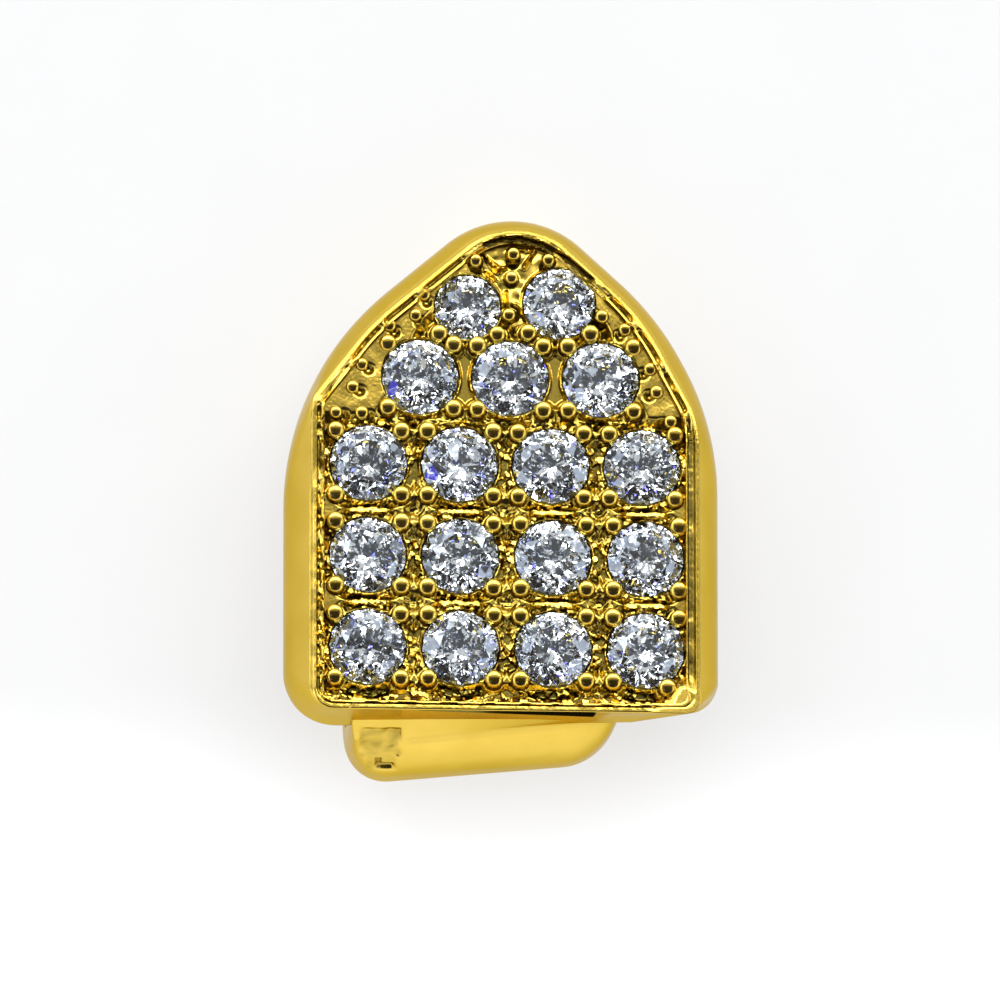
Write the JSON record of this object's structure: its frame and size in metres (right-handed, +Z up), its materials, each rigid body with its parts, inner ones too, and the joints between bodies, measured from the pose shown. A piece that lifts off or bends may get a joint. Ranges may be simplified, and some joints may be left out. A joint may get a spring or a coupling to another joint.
{
  "type": "grillz tooth cover",
  "caption": "Gold-coloured cap for one upper tooth: arched face pave-set with round stones, bright-cut rim, flared side wall and a back hook that grips behind the tooth.",
  "frame": {"origin": "centre of the bounding box on the surface that the cap lies on", "axes": "+X across the face to the right, +Y from the bite edge and hook towards the gum tip, +Z up; the cap lies on its back with its face up, tipped by the height of its hook"},
  "size_m": [0.01, 0.0128, 0.0048],
  "materials": {
    "gold_metal": "polished",
    "clear_stone": "faceted, polished"
  },
  "bodies": {
    "root": {"cap_body": "gold_metal", "stone_01": "clear_stone", "stone_02": "clear_stone", "stone_03": "clear_stone", "stone_04": "clear_stone", "stone_05": "clear_stone", "stone_06": "clear_stone", "stone_07": "clear_stone", "stone_08": "clear_stone", "stone_09": "clear_stone", "stone_10": "clear_stone", "stone_11": "clear_stone", "stone_12": "clear_stone", "stone_13": "clear_stone", "stone_14": "clear_stone", "stone_15": "clear_stone", "stone_16": "clear_stone", "stone_17": "clear_stone"}
  },
  "joints": []
}
